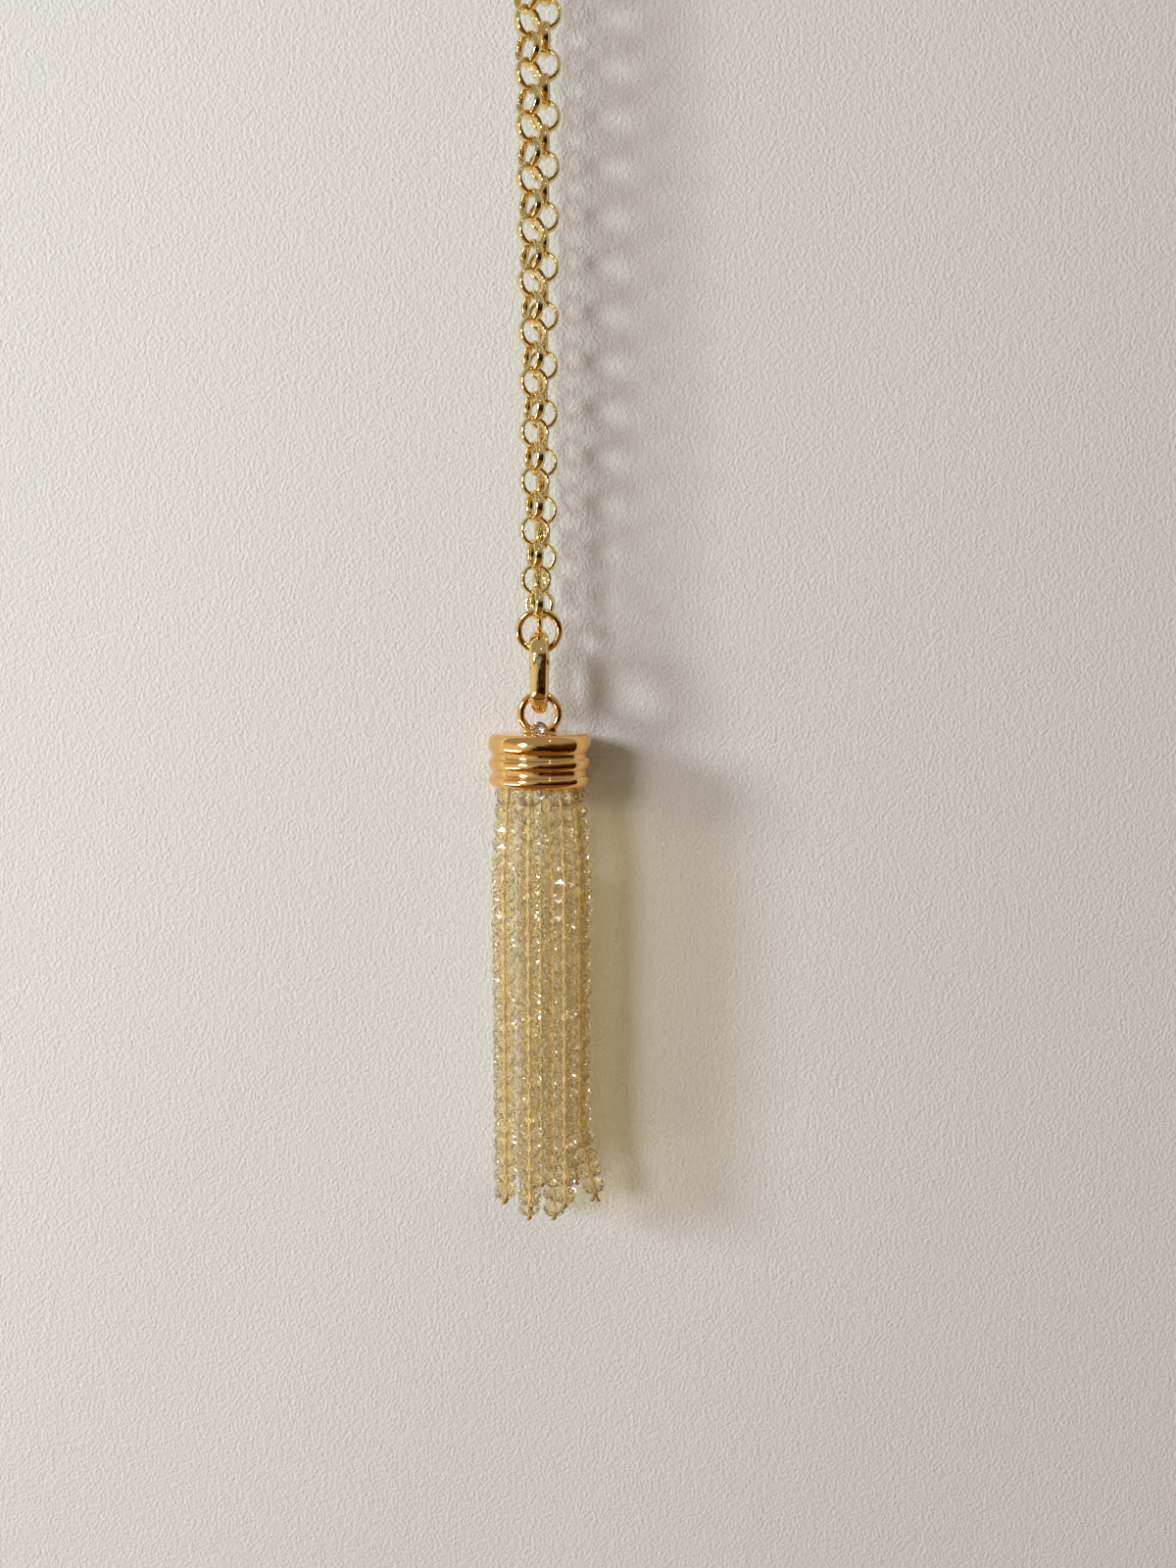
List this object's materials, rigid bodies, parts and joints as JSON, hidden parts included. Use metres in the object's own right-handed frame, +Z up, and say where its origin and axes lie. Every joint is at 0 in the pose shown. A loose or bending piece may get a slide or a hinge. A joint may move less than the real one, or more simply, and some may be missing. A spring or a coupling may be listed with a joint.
{
  "type": "tassel necklace",
  "caption": "Long chain necklace of round links with an oval hinged clasp at the front, a ribbed cap hung on it and a tassel of faceted glass bead strands.",
  "frame": {"origin": "underside of the chain at the top of the loop, where the necklace hangs", "axes": "+Z up, -Y towards the front of the hanging necklace, +X to the right as seen from the front"},
  "size_m": [0.0361, 0.015, 0.4373],
  "materials": {
    "gold_chain": "polished gold plate",
    "polished_gold": "mirror polished gold plate",
    "clear_stone": "cut and polished",
    "glass_beads": "faceted and fire polished"
  },
  "bodies": {
    "root": {"chain_front": "gold_chain", "chain_back": "gold_chain", "end_ring": "polished_gold", "clasp_body": "polished_gold"},
    "gate": {"clasp_gate": "polished_gold"},
    "pendant": {"cap": "polished_gold", "stone": "clear_stone", "bead_tassel": "glass_beads"}
  },
  "joints": [
    {"name": "gate_hinge", "type": "hinge", "parent": "root", "child": "gate", "pos_m": [0, -0.00285, -0.34903], "axis": [-1, 0, 0], "range_deg": [0, 50]},
    {"name": "tassel_swing", "type": "hinge", "parent": "root", "child": "pendant", "pos_m": [0, 0, -0.35648], "axis": [0, 1, 0], "range_deg": [-50, 50]}
  ]
}
